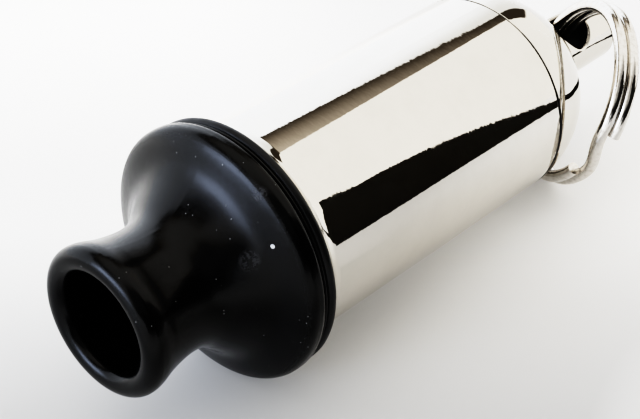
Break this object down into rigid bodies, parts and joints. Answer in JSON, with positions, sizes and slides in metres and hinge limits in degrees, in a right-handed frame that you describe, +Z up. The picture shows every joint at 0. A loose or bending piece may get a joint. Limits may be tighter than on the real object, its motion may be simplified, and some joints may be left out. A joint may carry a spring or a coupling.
{
  "type": "siren training whistle",
  "caption": "Mouth-blown siren whistle: black mouthpiece on a bright metal barrel with a vaned rotor inside, a domed rear cap, and a stud carrying a split ring.",
  "frame": {"origin": "on the whistle's axis, inside the mouth bore, in the plane of the mouthpiece flange's rim", "axes": "+X along the axis from the mouth to the ring, +Z up as it lies on a table, +Y to the left when seen from the mouth end"},
  "size_m": [0.067, 0.0255, 0.0234],
  "materials": {
    "nickel_plate": "polished nickel plate",
    "ring_wire": "bright nickel-plated steel wire",
    "black_plastic": "satin black",
    "black_rubber": "soft black",
    "brass": "turned brass",
    "bronze": "sintered bronze",
    "steel": "bright turned steel",
    "rotor_alloy": "machined aluminium"
  },
  "bodies": {
    "whistle": {"mouthpiece": "black_plastic", "flange_gasket": "black_rubber", "spigot_o_ring": "black_rubber", "barrel": "nickel_plate", "stator_disc": "brass", "front_bearing_bush": "bronze", "front_thrust_washer": "bronze", "spacer_sleeve": "brass", "rear_thrust_washer": "bronze", "rear_bridge": "brass", "rear_bearing_bush": "bronze", "end_play_screw": "steel", "end_play_lock_nut": "brass", "cartridge_snap_ring": "steel", "rear_cap": "nickel_plate", "stud_washer": "steel", "stud_nut": "brass", "ring_stud": "nickel_plate"},
    "rotor": {"rotor_wheel": "rotor_alloy", "rotor_collar": "brass", "rotor_spindle": "steel"},
    "ring": {"split_ring": "ring_wire"}
  },
  "joints": [
    {"name": "rotor_spin", "type": "hinge", "parent": "whistle", "child": "rotor", "pos_m": [0.0134, 0, 0], "axis": [1, 0, 0], "continuous": true},
    {"name": "ring_swing", "type": "hinge", "parent": "whistle", "child": "ring", "pos_m": [0.0479, 0, 0], "axis": [0, -0.3173, 0.9483], "range_deg": [-0.5, 264]}
  ]
}
